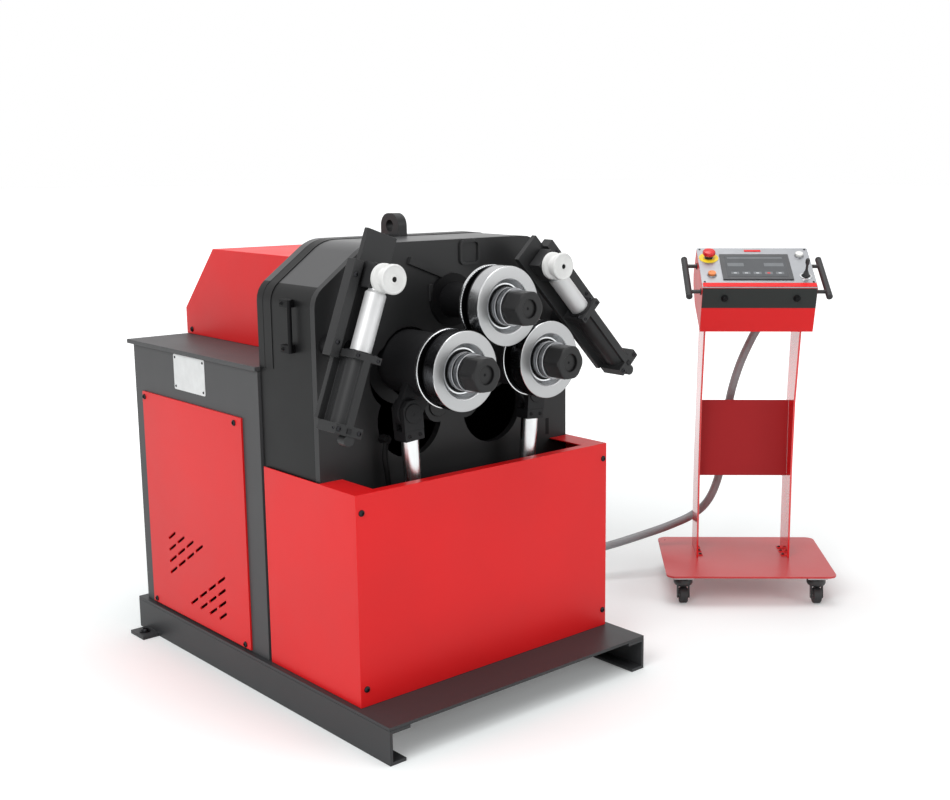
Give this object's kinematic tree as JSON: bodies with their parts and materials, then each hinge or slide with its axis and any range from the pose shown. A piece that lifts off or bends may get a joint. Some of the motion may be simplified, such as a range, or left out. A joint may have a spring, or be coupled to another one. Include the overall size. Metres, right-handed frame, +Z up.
{
  "type": "hydraulic three-roll profile and tube bender",
  "caption": "Floor-standing three-roll bender for profiles and tubes: rolls on hydraulic swing arms, swivelling lateral guide rollers, cabinet, front guard and a wheeled control console.",
  "frame": {"origin": "centre of the bounding box of everything but the conduit, on the floor", "axes": "+X to the right along the front, from the machine to the console, +Y from the front to the back, +Z up"},
  "size_m": [1.9918, 1.3384, 1.2403],
  "materials": {
    "red_paint": "semi-gloss red powder coat",
    "dark_red_paint": "matt dark red powder coat",
    "grey_paint": "fine textured dark grey powder coat",
    "black_paint": "satin black paint",
    "roll_steel": "turned and ground steel",
    "bright_steel": "machined steel",
    "rod_chrome": "hard chromed and polished",
    "white_plastic": "white nylon",
    "panel_metal": "brushed grey fascia",
    "screen_glass": "dark glossy touch screen",
    "stop_red": "glossy red plastic",
    "orange_plastic": "glossy orange plastic",
    "lamp_white": "translucent white plastic",
    "black_rubber": "matt black rubber",
    "black_plastic": "moulded black plastic",
    "conduit_grey": "grey flexible sheath"
  },
  "bodies": {
    "machine": {"left_base_rail": "grey_paint", "right_base_rail": "grey_paint", "base_deck": "grey_paint", "front_guard": "red_paint", "cabinet_shell": "grey_paint", "cabinet_top": "grey_paint", "vent_panel": "red_paint", "drive_hood": "red_paint", "hydraulic_tank": "bright_steel", "pump_motor": "grey_paint", "valve_block": "bright_steel", "head_shell": "black_paint", "head_front_plate": "black_paint", "lifting_eye": "black_paint", "side_handle": "black_paint", "left_cylinder": "black_paint", "right_cylinder": "black_paint", "machine_gland": "black_plastic", "conduit": "conduit_grey"},
    "top_roll_set": {"top_shaft": "bright_steel", "top_roll": "roll_steel", "top_lock_nut": "black_paint"},
    "left_arm": {"left_swing_arm": "black_paint"},
    "left_roll_set": {"left_shaft": "bright_steel", "left_roll": "roll_steel", "left_lock_nut": "black_paint"},
    "left_lift_rod": {"left_cylinder_rod": "rod_chrome"},
    "left_guide": {"left_guide_bracket": "black_paint"},
    "left_guide_slide": {"left_guide_rod": "rod_chrome"},
    "left_spool": {"left_guide_roller": "white_plastic"},
    "right_arm": {"right_swing_arm": "black_paint"},
    "right_roll_set": {"right_shaft": "bright_steel", "right_roll": "roll_steel", "right_lock_nut": "black_paint"},
    "right_lift_rod": {"right_cylinder_rod": "rod_chrome"},
    "right_guide": {"right_guide_bracket": "black_paint"},
    "right_guide_slide": {"right_guide_rod": "rod_chrome"},
    "right_spool": {"right_guide_roller": "white_plastic"},
    "console": {"console_base": "red_paint", "left_column": "red_paint", "right_column": "red_paint", "document_shelf": "dark_red_paint", "console_box": "red_paint", "control_panel": "panel_metal", "touch_screen": "screen_glass", "left_handle": "black_rubber", "right_handle": "black_rubber", "console_gland": "black_plastic"},
    "emergency_stop": {"emergency_stop": "stop_red"},
    "start_button": {"start_button": "orange_plastic"},
    "lamp_button": {"lamp_button": "lamp_white"},
    "joystick": {"joystick": "black_rubber"},
    "front_left_fork": {"front_left_caster": "black_plastic"},
    "front_left_wheel": {"front_left_wheel": "black_rubber"},
    "front_right_fork": {"front_right_caster": "black_plastic"},
    "front_right_wheel": {"front_right_wheel": "black_rubber"},
    "rear_left_fork": {"rear_left_caster": "black_plastic"},
    "rear_left_wheel": {"rear_left_wheel": "black_rubber"},
    "rear_right_fork": {"rear_right_caster": "black_plastic"},
    "rear_right_wheel": {"rear_right_wheel": "black_rubber"}
  },
  "joints": [
    {"name": "top_roll_spin", "type": "hinge", "parent": "machine", "child": "top_roll_set", "pos_m": [-0.51686, -0.49382, 1.029], "axis": [0, 1, 0], "continuous": true},
    {"name": "left_arm_swing", "type": "hinge", "parent": "machine", "child": "left_arm", "pos_m": [-0.56186, -0.24482, 0.76], "axis": [0, 1, 0], "range_deg": [-18, 0]},
    {"name": "left_roll_spin", "type": "hinge", "parent": "left_arm", "child": "left_roll_set", "pos_m": [-0.65286, -0.49382, 0.884], "axis": [0, 1, 0], "continuous": true},
    {"name": "left_lift", "type": "slide", "parent": "machine", "child": "left_lift_rod", "axis": [-0.077, 0, 0.997], "range_m": [-0.0496, 0]},
    {"name": "left_guide_swing", "type": "hinge", "parent": "machine", "child": "left_guide", "pos_m": [-0.88986, -0.39782, 0.948], "axis": [0, 1, 0], "range_deg": [-25, 10]},
    {"name": "left_guide_extend", "type": "slide", "parent": "left_guide", "child": "left_guide_slide", "axis": [0.342, 0, 0.9397], "range_m": [-0.04, 0.06]},
    {"name": "left_guide_roller_spin", "type": "hinge", "parent": "left_guide_slide", "child": "left_spool", "pos_m": [-0.83035, -0.47282, 1.11151], "axis": [0, 1, 0], "continuous": true},
    {"name": "right_arm_swing", "type": "hinge", "parent": "machine", "child": "right_arm", "pos_m": [-0.47186, -0.24482, 0.76], "axis": [0, 1, 0], "range_deg": [0, 18]},
    {"name": "right_roll_spin", "type": "hinge", "parent": "right_arm", "child": "right_roll_set", "pos_m": [-0.38086, -0.49382, 0.884], "axis": [0, 1, 0], "continuous": true},
    {"name": "right_lift", "type": "slide", "parent": "machine", "child": "right_lift_rod", "axis": [0.077, 0, 0.997], "range_m": [-0.0496, 0]},
    {"name": "right_guide_swing", "type": "hinge", "parent": "machine", "child": "right_guide", "pos_m": [-0.14386, -0.39782, 0.948], "axis": [0, 1, 0], "range_deg": [-10, 25]},
    {"name": "right_guide_extend", "type": "slide", "parent": "right_guide", "child": "right_guide_slide", "axis": [-0.6884, 0, 0.7254], "range_m": [-0.04, 0.06]},
    {"name": "right_guide_roller_spin", "type": "hinge", "parent": "right_guide_slide", "child": "right_spool", "pos_m": [-0.29874, -0.47282, 1.11121], "axis": [0, 1, 0], "continuous": true},
    {"name": "console_roll", "type": "slide", "parent": "machine", "child": "console", "axis": [1, 0, 0], "range_m": [-0.05, 0.25], "deforming": ["conduit"]},
    {"name": "emergency_stop_push", "type": "slide", "parent": "console", "child": "emergency_stop", "axis": [-0.303, -0.3148, 0.8995], "range_m": [-0.005, 0]},
    {"name": "start_button_push", "type": "slide", "parent": "console", "child": "start_button", "axis": [-0.303, -0.3148, 0.8995], "range_m": [-0.003, 0], "stiffness_N_per_m": 600},
    {"name": "lamp_button_push", "type": "slide", "parent": "console", "child": "lamp_button", "axis": [-0.303, -0.3148, 0.8995], "range_m": [-0.003, 0], "stiffness_N_per_m": 600},
    {"name": "joystick_tilt", "type": "hinge", "parent": "console", "child": "joystick", "pos_m": [0.66521, -0.5509, 1.02971], "axis": [0.6237, 0.6481, 0.4369], "range_deg": [-12, 12], "stiffness_Nm_per_rad": 0.6},
    {"name": "front_left_swivel", "type": "hinge", "parent": "console", "child": "front_left_fork", "pos_m": [0.40594, -0.30762, 0.08], "axis": [0, 0, 1], "continuous": true},
    {"name": "front_left_wheel_spin", "type": "hinge", "parent": "front_left_fork", "child": "front_left_wheel", "pos_m": [0.39693, -0.31699, 0.025], "axis": [0.7206, -0.6934, 0], "continuous": true},
    {"name": "front_right_swivel", "type": "hinge", "parent": "console", "child": "front_right_fork", "pos_m": [0.7093, -0.59954, 0.08], "axis": [0, 0, 1], "continuous": true},
    {"name": "front_right_wheel_spin", "type": "hinge", "parent": "front_right_fork", "child": "front_right_wheel", "pos_m": [0.70028, -0.60891, 0.025], "axis": [0.7206, -0.6934, 0], "continuous": true},
    {"name": "rear_left_swivel", "type": "hinge", "parent": "console", "child": "rear_left_fork", "pos_m": [0.62298, -0.08209, 0.08], "axis": [0, 0, 1], "continuous": true},
    {"name": "rear_left_wheel_spin", "type": "hinge", "parent": "rear_left_fork", "child": "rear_left_wheel", "pos_m": [0.61396, -0.09146, 0.025], "axis": [0.7206, -0.6934, 0], "continuous": true},
    {"name": "rear_right_swivel", "type": "hinge", "parent": "console", "child": "rear_right_fork", "pos_m": [0.92633, -0.37401, 0.08], "axis": [0, 0, 1], "continuous": true},
    {"name": "rear_right_wheel_spin", "type": "hinge", "parent": "rear_right_fork", "child": "rear_right_wheel", "pos_m": [0.91732, -0.38338, 0.025], "axis": [0.7206, -0.6934, 0], "continuous": true}
  ],
  "couplings": [
    {"joint": "left_roll_spin", "follows": "top_roll_spin", "ratio": -1},
    {"joint": "left_lift", "follows": "left_arm_swing", "m_per_rad": 0.1575},
    {"joint": "right_roll_spin", "follows": "top_roll_spin", "ratio": -1},
    {"joint": "right_lift", "follows": "right_arm_swing", "m_per_rad": -0.1575}
  ]
}
